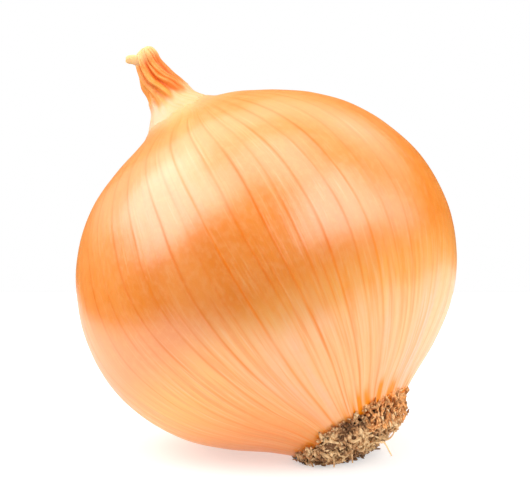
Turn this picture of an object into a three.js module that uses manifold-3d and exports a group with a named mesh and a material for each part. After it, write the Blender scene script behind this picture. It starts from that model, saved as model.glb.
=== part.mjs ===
// A dry yellow onion lying on its side: the bulb in its skin, its dried neck and its root tuft.
// Millimetres. In the onion's own frame +Z is its axis, from root to neck, and the origin is the
// middle of its widest ring. The whole is then leaned over until it lies on its belly at z = 0.
import * as THREE from 'three';
import { mergeVertices } from 'three/addons/utils/BufferGeometryUtils.js';
import Module from 'manifold-3d';

const wasm = await Module();
wasm.setup();

// How it lies
const LEAN = THREE.MathUtils.degToRad(33.2);
const FLAT_DEPTH = 0.35;
const FLOOR_SIZE = 160;
const FLOOR_THICKNESS = 20;

// Outline from the root rim to the neck's tip: height along the axis, radius, offset to the side
const OUTLINE = [
  [-35.2, 10.6, 0], [-31.5, 15.6, 0], [-27, 22.77, 0], [-21.5, 29.17, 0], [-14, 34.21, 0],
  [-5, 37.1, 0], [5, 36.9, 0], [14, 33.93, 0], [20.5, 29.95, 0], [25.5, 24.75, 0], [29, 19.12, 0.5],
  [31.3, 14.37, 1.15], [33, 10.92, 1.15], [34.5, 7.9, -0.25], [36, 6.2, -0.8], [38, 4.68, -0.97],
  [41, 3.7, -0.96], [44.5, 3.12, -1.87], [48.2, 2.88, -2.1], [49.4, 2.2, -2.1],
];
const SIDE = THREE.MathUtils.degToRad(34.2);
const BULB_ROWS = 29;

// Veins of the skin, three columns of points each
const VEINS = 36;
const VEIN_HALF_WIDTH = 0.6;
const VEIN_WIDTH_SHARE = 0.28;
const VEIN_HEIGHTS = [0.14, 0.3];
const VEIN_JITTER = 0.3;
const VEIN_WANDER = 0.02;
const VEIN_WANDER_LENGTH = 11;

// Torn skin rim round the neck: its mean height, its slant, and its tears as waves, size and turn
const NECK_RIM = { height: 34.5, slant: 0.105 };
const RIM_TEARS = [[3, 0.26, 1], [7, 0.2, 2.4], [15, 0.12, 0.7]];
const ROOT_RIM = { height: -35.1, slant: 0.08 };
const RIM_WALL = 0.65;
const RIM_BEVEL = 0.1;
const SEAT_DEPTH = 0.9;
const GAP = 0.35;
const RIM_MARGINS = { neck: 1.6, root: 1.4 };
const RELIEF_FADES = { start: -1, neck: 5, root: 4 };

// Neck: pleats of the shrunk leaf sheaths
const NECK_START = 0.7;
const NECK_FOOT_INSET = 0.35;
const NECK_FOOT_LIFT = 0.2;
const NECK_ROWS = 20;
const NECK_PLEATS = 9;
const PLEAT_COLUMNS = 4;
const PLEAT_DEPTHS = [0.015, 0.12];
const PLEAT_STRENGTHS = [0.5, 1.2];
const PLEAT_TWIST = 0.7;
const NECK_FLATNESS = 0.2;
const TIP_CROWN = 0.3;

// Dried leaf tips on top of the neck: path as sideways, forward and height, half width, half thickness
const LEAF_TIPS = [
  {
    width: 0.7,
    thickness: 0.36,
    path: [[-2.6, 0.4, 46.6], [-3.4, 0.3, 48.7], [-4.6, 0, 49.6], [-5.6, -0.4, 49.3]],
  },
  {
    width: 1.3,
    thickness: 0.42,
    path: [[-1.9, 0.6, 46.6], [-1.8, 1, 48.8], [-1.4, 0.4, 50], [-0.6, -0.9, 50]],
  },
  {
    width: 1.1,
    thickness: 0.4,
    path: [[-2.2, -0.8, 46.6], [-2.4, -1.3, 48.6], [-3, -1.2, 49.7], [-3.6, -0.4, 50]],
  },
];
const TIP_NARROWING = 0.55;
const TIP_SIDES = 8;
const TIP_STEPS = 7;

// Root tuft: a domed plate, a mat of curled roots and a few strays
const PLATE_OUTLINE = [
  [0, -34.8], [9.2, -34.8], [9.3, -35.75], [10.6, -36.2],
  [10.4, -36.9], [8.4, -37.8], [5, -38.5], [0, -38.8],
];
const PLATE_SIDES = 28;
const PLATE_SHIFT = 0.5;
const MAT_ROOTS = 84;
const MAT_RADIUS = 10.1;
const MAT_DEPTHS = [-38.6, -36.3];
const ROOT_RADII = [0.62, 0.4];
const ROOT_SIDES = 4;
const ROOT_STEPS = 5;
const ROOT_SUNK = 1.6;
const ROOT_LIFT = 1.1;
const ROOT_REACH = [1.8, 3.8];
const ROOT_SWING = 1.9;
const ROOT_DIP = 0.08;
const ROOT_CURL = [-0.2, 0.9];
const FLOOR_CLEARANCE = 0.12;
const RIM_CLEARANCE = 0.1;
const BEND_ROUNDS = 6;
const STRAY_ROOTS = [
  [[3.5, -1.2, -37.4], [4.8, -1.4, -40], [5.8, -0.6, -40.9], [5.6, -0.1, -43.8]],
  [[4.4, 0, -37.4], [5.6, 0.5, -40.3], [6.6, 1.1, -40.6], [7.6, 1.8, -40]],
  [[1.6, -5, -37], [1.5, -6, -39.8], [1, -6.2, -41.2]],
  [[-0.6, -7.6, -36.8], [-1, -8.8, -39.4], [-1.3, -9.1, -40.2]],
  [[-2, 6, -37], [-2.6, 7.4, -39.4], [-2.2, 8.8, -40.6]],
];

const SEED = 20417;
const TURN = Math.PI * 2;

const mix = THREE.MathUtils.lerp;
const ease = THREE.MathUtils.smoothstep;

// Seeded draws between 0 and 1
function makeDraw(seed) {
  let state = seed;
  return () => {
    state = (state * 1664525 + 1013904223) % 4294967296;
    return state / 4294967296;
  };
}

// The outline as one smooth curve, and its radius and offset at any height
const outlineCurve = new THREE.CatmullRomCurve3(
  OUTLINE.map(([z, radius, offset]) => new THREE.Vector3(radius, offset, z)),
  false,
  'catmullrom',
);
const outlinePoints = outlineCurve.getSpacedPoints(1200);

function outlineAt(z) {
  const k = Math.max(1, outlinePoints.findIndex((p) => p.z >= z));
  const [before, after] = [outlinePoints[k - 1], outlinePoints[k]];
  return before.clone().lerp(after, (z - before.z) / (after.z - before.z));
}

// Heights at equal steps along the outline between two heights
function stepsBetween(low, high, count) {
  const part = outlinePoints.filter((p) => p.z > low && p.z < high);
  return Array.from({ length: count }, (_, k) => part[Math.round((k * (part.length - 1)) / (count - 1))].z);
}

// A point on the outline's skin or inside it by an inset
function skinPoint(z, angle, inset = 0) {
  const { x: radius, y: offset } = outlineAt(z);
  return new THREE.Vector3(
    (radius - inset) * Math.cos(angle) + offset * Math.cos(SIDE),
    (radius - inset) * Math.sin(angle) + offset * Math.sin(SIDE),
    z,
  );
}

// Height of a slanted rim at an angle round the axis
function rimHeight(rim, angle) {
  return rim.height + rim.slant * outlineAt(rim.height).x * Math.cos(angle - SIDE);
}

function neckRimHeight(angle) {
  const tear = ([waves, size, turn]) => size * Math.sin(waves * angle + turn);
  return RIM_TEARS.reduce((height, wave) => height + tear(wave), rimHeight(NECK_RIM, angle));
}

// A closed skin over rows of points that run round the axis, with a point at each end
function closedRows(firstPoint, rows, lastPoint) {
  const columns = rows[0].length;
  const points = [firstPoint, ...rows.flat(), lastPoint];
  const last = points.length - 1;
  const at = (row, column) => 1 + row * columns + (column % columns);
  const index = [];
  for (let column = 0; column < columns; column += 1) {
    index.push(0, at(0, column), at(0, column + 1));
    index.push(last, at(rows.length - 1, column + 1), at(rows.length - 1, column));
    for (let row = 0; row + 1 < rows.length; row += 1) {
      index.push(at(row, column), at(row + 1, column), at(row + 1, column + 1));
      index.push(at(row, column), at(row + 1, column + 1), at(row, column + 1));
    }
  }
  const geometry = new THREE.BufferGeometry().setFromPoints(points);
  geometry.setIndex(index);
  return geometry;
}

// Geometry to solid and back
function toSolid(geometry) {
  const bare = geometry.clone();
  bare.deleteAttribute('normal');
  bare.deleteAttribute('uv');
  const merged = mergeVertices(bare, 1e-4);
  return new wasm.Manifold(new wasm.Mesh({
    numProp: 3,
    vertProperties: new Float32Array(merged.attributes.position.array),
    triVerts: new Uint32Array(merged.index.array),
  }));
}

function toGeometry(solid) {
  const mesh = solid.getMesh();
  const geometry = new THREE.BufferGeometry();
  geometry.setAttribute('position', new THREE.BufferAttribute(new Float32Array(mesh.vertProperties), 3));
  geometry.setIndex(new THREE.BufferAttribute(new Uint32Array(mesh.triVerts), 1));
  geometry.computeVertexNormals();
  return geometry;
}

// The skin veins: where each lies round the bulb and how high it stands
function drawVeins() {
  const draw = makeDraw(SEED);
  return Array.from({ length: VEINS }, (_, k) => ({
    angle: ((k + VEIN_JITTER * (draw() - 0.5)) / VEINS) * TURN,
    height: mix(...VEIN_HEIGHTS, draw()),
    phase: draw() * TURN,
  }));
}

// Three columns a vein along the bulb: their angle at a height, and how much they are raised
function veinColumns(veins, z) {
  const halfAngle = Math.min(VEIN_HALF_WIDTH / outlineAt(z).x, (VEIN_WIDTH_SHARE * TURN) / VEINS);
  return veins.flatMap((vein) => {
    const middle = vein.angle + VEIN_WANDER * Math.sin(z / VEIN_WANDER_LENGTH + vein.phase);
    return [
      { angle: middle - halfAngle, raise: 0 },
      { angle: middle, raise: vein.height },
      { angle: middle + halfAngle, raise: 0 },
    ];
  });
}

// Height of the bulb's middle over the floor, sunk a little to make the flat spot
function restHeight() {
  const belly = outlinePoints.filter((p) => p.z > -31 && p.z < 0);
  const heights = belly.map((p) => p.z * Math.cos(LEAN) - p.x * Math.sin(LEAN));
  return -Math.min(...heights) - FLAT_DEPTH;
}

function makeBulb(floor) {
  const veins = drawVeins();
  const rimRow = (inset, drop) => veinColumns(veins, NECK_RIM.height).map(({ angle }) => {
    const point = skinPoint(neckRimHeight(angle), angle, inset);
    point.z -= drop;
    return point;
  });
  const rootRow = (inset, rise) => veinColumns(veins, ROOT_RIM.height).map(({ angle }) => {
    const point = skinPoint(rimHeight(ROOT_RIM, angle), angle, inset);
    point.z += rise;
    return point;
  });
  const lowest = ROOT_RIM.height + RIM_MARGINS.root;
  const highest = NECK_RIM.height - RIM_MARGINS.neck;
  const rows = [rimRow(RIM_WALL, SEAT_DEPTH), rimRow(RIM_WALL, 0), rimRow(0, RIM_BEVEL)];
  for (const z of stepsBetween(lowest, highest, BULB_ROWS).reverse()) {
    const fadeIn = ease(z - lowest, RELIEF_FADES.start, RELIEF_FADES.root);
    const relief = fadeIn * ease(highest - z, RELIEF_FADES.start, RELIEF_FADES.neck);
    rows.push(veinColumns(veins, z).map(({ angle, raise }) => skinPoint(z, angle, -raise * relief)));
  }
  rows.push(rootRow(0, 0), rootRow(RIM_WALL, 0), rootRow(RIM_WALL, SEAT_DEPTH));
  const top = skinPoint(NECK_RIM.height - SEAT_DEPTH, 0, outlineAt(NECK_RIM.height - SEAT_DEPTH).x);
  const bottom = new THREE.Vector3(0, 0, ROOT_RIM.height + SEAT_DEPTH);
  return toGeometry(toSolid(closedRows(top, rows, bottom)).subtract(floor));
}

// A closed tube with an oval section that changes along it
function ovalTube(path, sides, steps, section, widthAxis) {
  const curve = new THREE.CatmullRomCurve3(path);
  const rows = [];
  for (let step = 0; step <= steps; step += 1) {
    const share = step / steps;
    const middle = curve.getPoint(share);
    const ahead = curve.getTangent(share);
    const across = widthAxis.clone().projectOnPlane(ahead).normalize();
    const over = new THREE.Vector3().crossVectors(ahead, across);
    const { width, thickness } = section(share);
    rows.push(Array.from({ length: sides }, (_, k) => {
      const turn = (-k / sides) * TURN;
      return middle.clone()
        .addScaledVector(across, width * Math.cos(turn))
        .addScaledVector(over, thickness * Math.sin(turn));
    }));
  }
  return closedRows(curve.getPoint(0), rows, curve.getPoint(1));
}

// Pleated leaf sheaths of the neck, twisted a little, from the seat in the skin up to the tip
function makeSheaths() {
  const draw = makeDraw(SEED + 1);
  const columns = NECK_PLEATS * PLEAT_COLUMNS;
  const strengths = Array.from({ length: NECK_PLEATS }, () => mix(...PLEAT_STRENGTHS, draw()));
  const tip = OUTLINE[OUTLINE.length - 1][0];
  const angles = Array.from({ length: columns }, (_, column) => (column / columns) * TURN);
  const footRow = (drop) => angles.map((angle) => {
    const point = skinPoint(rimHeight(NECK_RIM, angle), angle, RIM_WALL + 2 * GAP);
    point.z -= drop;
    return point;
  });
  const rows = [footRow(SEAT_DEPTH - 2 * GAP), footRow(-NECK_FOOT_LIFT)];
  for (const height of stepsBetween(NECK_RIM.height + NECK_START, tip, NECK_ROWS)) {
    const climb = (height - NECK_RIM.height) / (tip - NECK_RIM.height);
    rows.push(angles.map((angle, column) => {
      const slanted = rimHeight(NECK_RIM, angle) - NECK_RIM.height;
      const z = height + slanted * (1 - ease(climb, 0, 0.35));
      const turned = angle + PLEAT_TWIST * climb;
      const pleat = strengths[Math.floor(column / PLEAT_COLUMNS)] * Math.cos(angle * NECK_PLEATS);
      const depth = mix(...PLEAT_DEPTHS, ease(climb, 0.1, 0.6));
      const oval = NECK_FLATNESS * ease(climb, 0.3, 1) * Math.sin(turned - SIDE) ** 2;
      const foot = NECK_FOOT_INSET * (1 - ease(climb, 0, 0.12));
      return skinPoint(z, turned, outlineAt(z).x * (oval - depth * pleat) + foot);
    }));
  }
  rows.reverse();
  const top = skinPoint(tip, 0, outlineAt(tip).x);
  top.z += TIP_CROWN;
  const bottomHeight = NECK_RIM.height - SEAT_DEPTH + 2 * GAP;
  const bottom = skinPoint(bottomHeight, 0, outlineAt(bottomHeight).x);
  return toSolid(closedRows(top, rows, bottom));
}

// Sideways, forward and height to a point of the onion's frame
function asidePoint([aside, forward, z]) {
  return new THREE.Vector3(
    aside * Math.cos(SIDE) + forward * Math.sin(SIDE),
    aside * Math.sin(SIDE) - forward * Math.cos(SIDE),
    z,
  );
}

function makeNeck() {
  let solid = makeSheaths();
  const wide = asidePoint([0.25, 1, 0.3]);
  for (const { path, width, thickness } of LEAF_TIPS) {
    const section = (share) => ({ width: width * (1 - TIP_NARROWING * ease(share, 0.7, 1)), thickness });
    solid = solid.add(toSolid(ovalTube(path.map(asidePoint), TIP_SIDES, TIP_STEPS, section, wide)));
  }
  return toGeometry(solid);
}

// The root end stands a little askew, as its rim does
function setAskew(point) {
  const side = point.x * Math.cos(SIDE) + point.y * Math.sin(SIDE);
  point.x += PLATE_SHIFT * Math.cos(SIDE);
  point.y += PLATE_SHIFT * Math.sin(SIDE);
  point.z += ROOT_RIM.slant * side;
  return point;
}

// A root's point is bent clear of the skin's root rim and of the floor
function bendClear(point, restingHeight) {
  const up = new THREE.Vector3(Math.sin(LEAN), 0, Math.cos(LEAN));
  const rimRoom = ROOT_RADII[0] + GAP + RIM_CLEARANCE;
  const floorRoom = ROOT_RADII[0] + FLOOR_CLEARANCE;
  for (let round = 0; round < BEND_ROUNDS; round += 1) {
    const rim = rimHeight(ROOT_RIM, Math.atan2(point.y, point.x));
    point.z = Math.min(point.z, rim - rimRoom);
    point.addScaledVector(up, Math.max(0, floorRoom - point.dot(up) - restingHeight));
  }
  return point;
}

function makeRoot(points, restingHeight) {
  const section = (share) => {
    const radius = mix(...ROOT_RADII, share);
    return { width: radius, thickness: radius };
  };
  const path = points.map((p, k) => (k === 0 ? setAskew(p) : bendClear(setAskew(p), restingHeight)));
  return toSolid(ovalTube(path, ROOT_SIDES, ROOT_STEPS, section, new THREE.Vector3(0.3, 0.5, 0.8)));
}

// Curled roots spread evenly over the plate's dome, each lying over towards a drawn side
function matRootPaths() {
  const draw = makeDraw(SEED + 2);
  const goldenAngle = Math.PI * (3 - Math.sqrt(5));
  return Array.from({ length: MAT_ROOTS }, (_, k) => {
    const ring = Math.sqrt((k + 0.5) / MAT_ROOTS);
    const around = k * goldenAngle;
    const radius = MAT_RADIUS * ring;
    const depth = mix(...MAT_DEPTHS, ring ** 3);
    const start = new THREE.Vector3(radius * Math.cos(around), radius * Math.sin(around), depth);
    const out = new THREE.Vector3(Math.cos(around) * ring, Math.sin(around) * ring, 0.7 * ring - 1.1);
    out.normalize();
    const swing = around + mix(-ROOT_SWING, ROOT_SWING, draw());
    const lie = new THREE.Vector3(Math.cos(swing), Math.sin(swing), mix(-ROOT_DIP, ROOT_DIP, draw()));
    const reach = mix(...ROOT_REACH, draw());
    const curl = mix(...ROOT_CURL, draw());
    return [
      start.clone().addScaledVector(out, -ROOT_SUNK),
      start.clone().addScaledVector(out, ROOT_LIFT * 0.7),
      start.clone().addScaledVector(out, ROOT_LIFT).addScaledVector(lie, reach * 0.5),
      start.clone().addScaledVector(out, ROOT_LIFT * curl).addScaledVector(lie, reach),
    ];
  });
}

function makePlate() {
  const outline = PLATE_OUTLINE.map(([radius, z]) => new THREE.Vector2(radius, z)).reverse();
  const plate = new THREE.LatheGeometry(outline, PLATE_SIDES);
  plate.rotateX(Math.PI / 2);
  const position = plate.attributes.position;
  for (let k = 0; k < position.count; k += 1) {
    const point = setAskew(new THREE.Vector3().fromBufferAttribute(position, k));
    position.setXYZ(k, point.x, point.y, point.z);
  }
  return toSolid(plate);
}

function makeRootTuft(floor, restingHeight) {
  let solid = makePlate();
  const strays = STRAY_ROOTS.map((path) => path.map((p) => new THREE.Vector3(...p)));
  for (const path of [...matRootPaths(), ...strays]) {
    solid = solid.add(makeRoot(path, restingHeight));
  }
  return toGeometry(solid.subtract(floor));
}

function matte(color, roughness) {
  return new THREE.MeshStandardMaterial({ color, roughness, metalness: 0 });
}

const restingHeight = restHeight();
const onion = new THREE.Group();
onion.rotation.y = -LEAN;
onion.position.z = restingHeight;
onion.updateMatrixWorld(true);

// The floor below z = 0, seen from the onion's own frame
const slab = new THREE.BoxGeometry(FLOOR_SIZE, FLOOR_SIZE, FLOOR_THICKNESS);
slab.translate(0, 0, -FLOOR_THICKNESS / 2);
slab.applyMatrix4(onion.matrixWorld.clone().invert());
const floor = toSolid(slab);

const pieces = [
  ['bulb', makeBulb(floor), matte(0xe8954a, 0.35)],
  ['neck', makeNeck(), matte(0xf0b868, 0.6)],
  ['root_tuft', makeRootTuft(floor, restingHeight), matte(0x8e6d4c, 0.95)],
];
for (const [name, geometry, material] of pieces) {
  const mesh = new THREE.Mesh(geometry, material);
  mesh.name = name;
  onion.add(mesh);
}

export default onion;
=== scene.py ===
"""A dry yellow onion lying on its side on a pale table, in papery veined skin."""
import math
import random

import bpy
import numpy as np
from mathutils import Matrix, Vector, noise


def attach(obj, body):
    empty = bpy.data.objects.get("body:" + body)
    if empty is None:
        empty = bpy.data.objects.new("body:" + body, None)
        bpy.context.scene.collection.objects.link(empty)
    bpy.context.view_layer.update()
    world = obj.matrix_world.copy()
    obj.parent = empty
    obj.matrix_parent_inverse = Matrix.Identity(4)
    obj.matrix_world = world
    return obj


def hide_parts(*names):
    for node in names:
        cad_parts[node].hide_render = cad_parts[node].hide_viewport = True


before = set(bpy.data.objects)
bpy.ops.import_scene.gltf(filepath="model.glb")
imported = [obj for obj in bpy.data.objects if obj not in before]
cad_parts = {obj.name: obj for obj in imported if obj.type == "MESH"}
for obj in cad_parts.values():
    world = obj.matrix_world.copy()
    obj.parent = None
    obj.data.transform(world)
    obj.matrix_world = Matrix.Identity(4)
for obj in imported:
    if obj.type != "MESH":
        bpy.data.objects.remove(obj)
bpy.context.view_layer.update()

# Lengths are millimetres in the onion's own frame: +Z from root to neck, origin at its widest ring
MM = 0.001
TURN = 2 * math.pi
SEED = 20417

# How it lies
LEAN = math.radians(33.2)
FLAT_DEPTH = 0.35

# Outline from the root rim to the neck's tip: height along the axis, radius, offset to the side
OUTLINE = [
    (-35.2, 10.6, 0), (-31.5, 15.6, 0), (-27, 22.77, 0), (-21.5, 29.17, 0), (-14, 34.21, 0),
    (-5, 37.1, 0), (5, 36.9, 0), (14, 33.93, 0), (20.5, 29.95, 0), (25.5, 24.75, 0), (29, 19.12, 0.5),
    (31.3, 14.37, 1.15), (33, 10.92, 1.15), (34.5, 7.9, -0.25), (36, 6.2, -0.8), (38, 4.68, -0.97),
    (41, 3.7, -0.96), (44.5, 3.12, -1.87), (48.2, 2.88, -2.1), (49.4, 2.2, -2.1),
]
SIDE = math.radians(34.2)
OUTLINE_STEPS = 60

# Slanted rims of the skin, and the tears of the neck's rim as waves, size and turn
NECK_RIM = (34.5, 0.105)
ROOT_RIM = (-35.1, 0.08)
RIM_TEARS = [(3, 0.26, 1), (7, 0.2, 2.4), (15, 0.12, 0.7), (41, 0.07, 0.2), (67, 0.05, 1.9)]
SKIN_THICKNESS = 0.16
NECK_SEAT_DEPTH = 1.8
ROOT_SEAT_DEPTH = 0.9

# Veins on the side that faces the viewer: azimuth at the widest ring, strength, height it ends at
FRONT_VEINS = [
    (-123.0, 0.45, 40), (-114.7, 0.7, 40), (-106.4, 0.6, 40), (-101.5, 0.45, 8), (-97.1, 0.75, 40),
    (-88.7, 0.75, 40), (-84.6, 0.6, 0), (-78.5, 0.85, 40), (-74.2, 0.6, -5), (-71.4, 0.5, 40),
    (-65.4, 1.0, 40), (-60.4, 0.2, 12), (-56.4, 0.8, 40), (-53.9, 0.6, 1), (-49.3, 1.0, 40),
    (-46.9, 0.5, -9), (-42.3, 0.75, 40), (-39.2, 0.7, -8), (-35.6, 0.9, 40), (-28.0, 0.75, 40),
    (-21.5, 0.95, 40), (-17.4, 0.3, -6), (-13.1, 0.6, 40), (-5.4, 0.6, 40), (0.7, 0.45, 40),
    (9.8, 0.45, 40), (17.5, 0.4, 40),
]
BACK_VEINS = 32
BACK_VEIN_STRENGTHS = (0.25, 0.9)
VEIN_JITTER = 0.5
VEIN_WANDER = 0.009
VEIN_HEIGHT = 0.06
VEIN_PROFILE = [(-0.42, 0.2), (-0.2, 0.65), (0.0, 1.0), (0.2, 0.65), (0.42, 0.2)]
VEIN_REACH = 0.42
VEIN_WIDTH_SHARE = 0.3
FILL_COLUMNS = 2
FACET_DEPTH = 0.05
BULB_ROWS = 230

# The veins draw together towards the root and turn a little towards the neck
DRAW_TO = math.radians(-49)
ROOT_DRAW = math.radians(4.6)
NECK_TURN = math.radians(-2.6)

# Neck: its outline above the skin, folds as count, depth, turn, and the torn pale outer sheath
NECK_OUTLINE = [
    (33, 10.92, 1.15), (34.5, 7.9, -0.25), (36, 6.2, -0.8), (38, 4.68, -0.97), (41, 3.75, -1.15),
    (43.3, 3.2, -1.8), (46.2, 2.6, -1.9), (48.0, 2.35, -1.6), (49.4, 1.8, -1.35), (50.0, 1.0, -1.2),
    (50.15, 0.3, -1.2),
]
NECK_COLUMNS = 220
NECK_ROWS = 170
FOLDS = [(7, 0.24, 0.4), (12, 0.12, 2.1), (21, 0.07, 4.0)]
NECK_TWIST = -1.1
NECK_FLATNESS = 0.16
SHEATH_THICKNESS = 0.22
SHEATH_EDGE = 39.8
SHEATH_WAVES = [(1, 1.6, -1.35), (3, 0.5, 1.2), (5, 0.45, 0.4), (11, 0.35, 2.0), (19, 0.25, 0.5)]

# Dried leaf tips on the neck: path as sideways, forward and height, broad way, half width and thickness
LEAF_TIPS = [
    ([(-1.2, 1.2, 44.9), (-2.5, 1.0, 47.1), (-4.0, 0.6, 48.8), (-5.35, 0.3, 49.7)], (0.6, 0.1, 1), 1.25, 0.4),
    ([(-1.4, -1.2, 46.0), (-1.9, -1.3, 48.2), (-2.0, -1.0, 50.0)], (1, 0.2, 0.1), 1.2, 0.3),
    ([(0.1, 0.4, 45.6), (-0.2, 0.5, 47.8), (-0.7, 0.3, 49.8)], (1, 0.5, 0.2), 0.85, 0.25),
]

# Root tuft: dome of the plate as radius and height, and the mat of roots over it
DOME = [(0, -38.8), (5, -38.5), (8.4, -37.8), (10.0, -36.9), (10.8, -35.6), (11.7, -34.7), (12.8, -33.8)]
PLATE_BACK = [(9.9, -35.5), (9.4, -35.4), (9.3, -34.8), (0, -34.8)]
PLATE_SHIFT = 0.5
MAT_ROOTS = 620
MAT_RADIUS = 11.2
ROOT_RADIUS = (0.2, 0.5)
ROOT_LENGTH = (1.0, 3.4)
ROOT_RED_SIDE = (-34, 60, 9.0, 0.85)
MAT_THICKNESS = 1.5
FLOOR_CLEARANCE = 0.05
STRAY_ROOTS = [
    [(3.5, -1.2, -37.4), (4.8, -1.4, -40), (5.8, -0.6, -40.9), (5.6, -0.1, -43.8)],
    [(4.4, 0, -37.4), (5.6, 0.5, -40.3), (6.6, 1.1, -40.6), (7.6, 1.8, -40)],
    [(1.6, -5, -37), (1.5, -6, -39.8), (1, -6.2, -41.2)],
    [(-0.6, -7.6, -36.8), (-1, -8.8, -39.4), (-1.3, -9.1, -40.2)],
    [(-2, 6, -37), (-2.6, 7.4, -39.4), (-2.2, 8.8, -40.6)],
]

# Flakes round the root: azimuths from and to, count, distance from the axis, half size, redness
FLAKE_ZONES = [
    (-38, 66, 300, (8.7, 12.9), (0.25, 0.7), (0.6, 1.0)),
    (-192, -34, 220, (10.2, 12.5), (0.22, 0.6), (0.0, 0.12)),
    (66, 168, 80, (10.3, 12.4), (0.22, 0.6), (0.0, 0.4)),
    (-180, 180, 560, (1.0, 11.0), (0.22, 0.6), (0.0, 0.15)),
]
FLAKE_SIDES = 7
FLAKE_THICKNESS = 0.1
FLAKE_LIFTS = (0.0, 1.6)
FLAKE_TILT = 0.6

# Camera: where it stands round the onion, and how the photograph frames it
CAMERA_AZIMUTH = math.radians(34)
CAMERA_ELEVATION = math.radians(10)
CAMERA_DISTANCE = 0.7
SENSOR_WIDTH = 36
LENS = 246
FRAME_RISE = 3.94
FRAME_LEFT = 0.17

# Light panels: name, azimuth from the camera's side, elevation, width and height in metres, brightness
PANEL_DISTANCE = 1.1
PANELS = [
    ("left", -91, 35.5, 1.05, 0.83, 4.05),
    ("left_high", -56, 59, 0.44, 0.42, 2.8),
    ("left_back", -138, 49, 0.8, 0.7, 1.7),
    ("right", 62, 43, 0.78, 0.75, 3.0),
    ("right_high", 48, 65, 0.5, 0.38, 1.7),
    ("right_front", 31, 38, 0.35, 0.5, 3.2),
    ("right_side", 98, 24, 0.42, 0.5, 2.3),
    ("right_back", 137, 37, 0.55, 0.45, 1.3),
    ("left_rear", -136, 16, 0.6, 0.5, 0.8),
    ("top", 0, 88, 0.65, 0.6, 2.9),
    ("back", 165, 45, 0.7, 0.5, 1.3),
]

# Faint light from all round, as it lights and as it is mirrored
AMBIENT = 0.5
AMBIENT_MIRRORED = 0.05

# Light table: reach in metres in front, behind, left and right of the onion, and a brighter stretch
TABLE_REACH = (0.085, 0.16, 0.095, 0.2)
TABLE_GLOW = 0.5
TABLE_WHITE = 0.55
TABLE_SPOT = ("table_right", 0.09, -0.03, 0.1, 0.14, 0.15)


def catmull_rom(points, steps):
    """A smooth curve through the points, with the ends run on straight."""
    p = np.asarray(points, float)
    p = np.vstack([2 * p[0] - p[1], p, 2 * p[-1] - p[-2]])
    t = np.linspace(0, 1, steps, endpoint=False)[:, None]
    parts = []
    for a, b, c, d in zip(p[:-3], p[1:-2], p[2:-1], p[3:]):
        out, into = (c - a) / 2, (d - b) / 2
        cubic = (2 * b - 2 * c + out + into) * t ** 3
        square = (3 * c - 3 * b - 2 * out - into) * t ** 2
        parts.append(cubic + square + out * t + b)
    return np.vstack([*parts, p[-2]])


def ease(low, high, x):
    """0 below low, 1 above high, smooth between."""
    t = np.clip((np.asarray(x, float) - low) / (high - low), 0, 1)
    return t * t * (3 - 2 * t)


OUTLINE_CURVE = catmull_rom(OUTLINE, OUTLINE_STEPS)


def outline_radius(z):
    return np.interp(z, OUTLINE_CURVE[:, 0], OUTLINE_CURVE[:, 1])


def outline_offset(z):
    return np.interp(z, OUTLINE_CURVE[:, 0], OUTLINE_CURVE[:, 2])


def steps_between(low, high, count):
    """Heights at equal steps along the outline."""
    part = OUTLINE_CURVE[(OUTLINE_CURVE[:, 0] >= low) & (OUTLINE_CURVE[:, 0] <= high)]
    length = np.concatenate([[0], np.cumsum(np.hypot(*np.diff(part[:, :2], axis=0).T))])
    return np.interp(np.linspace(0, length[-1], count), length, part[:, 0])


def rest_height():
    """Height of the bulb's middle over the table."""
    belly = OUTLINE_CURVE[(OUTLINE_CURVE[:, 0] > -31) & (OUTLINE_CURVE[:, 0] < 0)]
    heights = belly[:, 0] * math.cos(LEAN) - belly[:, 1] * math.sin(LEAN)
    return -heights.min() - FLAT_DEPTH


REST_HEIGHT = rest_height()


def to_table(points):
    """From the onion's own frame in millimetres to the table's in metres, kept above the table."""
    x, y, z = np.asarray(points, float).reshape(-1, 3).T
    across = x * math.cos(LEAN) - z * math.sin(LEAN)
    up = x * math.sin(LEAN) + z * math.cos(LEAN) + REST_HEIGHT
    return np.stack([across, y, np.maximum(up, 0)], 1) * MM


def skin_points(z, angle, inset=0.0):
    """Points on the outline's skin, or inside it by an inset."""
    reach = outline_radius(z) - inset
    offset = outline_offset(z)
    x = reach * np.cos(angle) + offset * math.cos(SIDE)
    y = reach * np.sin(angle) + offset * math.sin(SIDE)
    return np.stack(np.broadcast_arrays(x, y, z), -1)


def rim_height(rim, angle):
    height, slant = rim
    return height + slant * outline_radius(height) * np.cos(angle - SIDE)


def neck_rim_height(angle):
    tears = sum(size * np.sin(waves * angle + turn) for waves, size, turn in RIM_TEARS)
    return rim_height(NECK_RIM, angle) + tears


def noise_at(points, size, seed=0.0):
    """Smooth noise from -1 to 1 at each point, with features of about the given size."""
    shape = points.shape[:-1]
    flat = points.reshape(-1, 3) / size + seed
    values = [noise.noise(Vector(p)) for p in flat]
    return np.array(values).reshape(shape)


def make_object(name, points, faces, material, attributes=None, flow=None):
    """A mesh object from points of the onion's own frame, and coordinates that follow its fibres."""
    mesh = bpy.data.meshes.new(name)
    mesh.from_pydata(to_table(points).tolist(), [], faces)
    mesh.polygons.foreach_set("use_smooth", [True] * len(mesh.polygons))
    flow = points if flow is None else flow
    for key, values in (("own", points), ("flow", flow)):
        layer = mesh.attributes.new(key, "FLOAT_VECTOR", "POINT")
        layer.data.foreach_set("vector", np.asarray(values, np.float32).ravel())
    for key, values in (attributes or {}).items():
        layer = mesh.attributes.new(key, "FLOAT", "POINT")
        layer.data.foreach_set("value", np.asarray(values, np.float32).ravel())
    mesh.materials.append(material)
    mesh.validate()
    mesh.update()
    piece = bpy.data.objects.new(name, mesh)
    bpy.context.scene.collection.objects.link(piece)
    return piece


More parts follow.
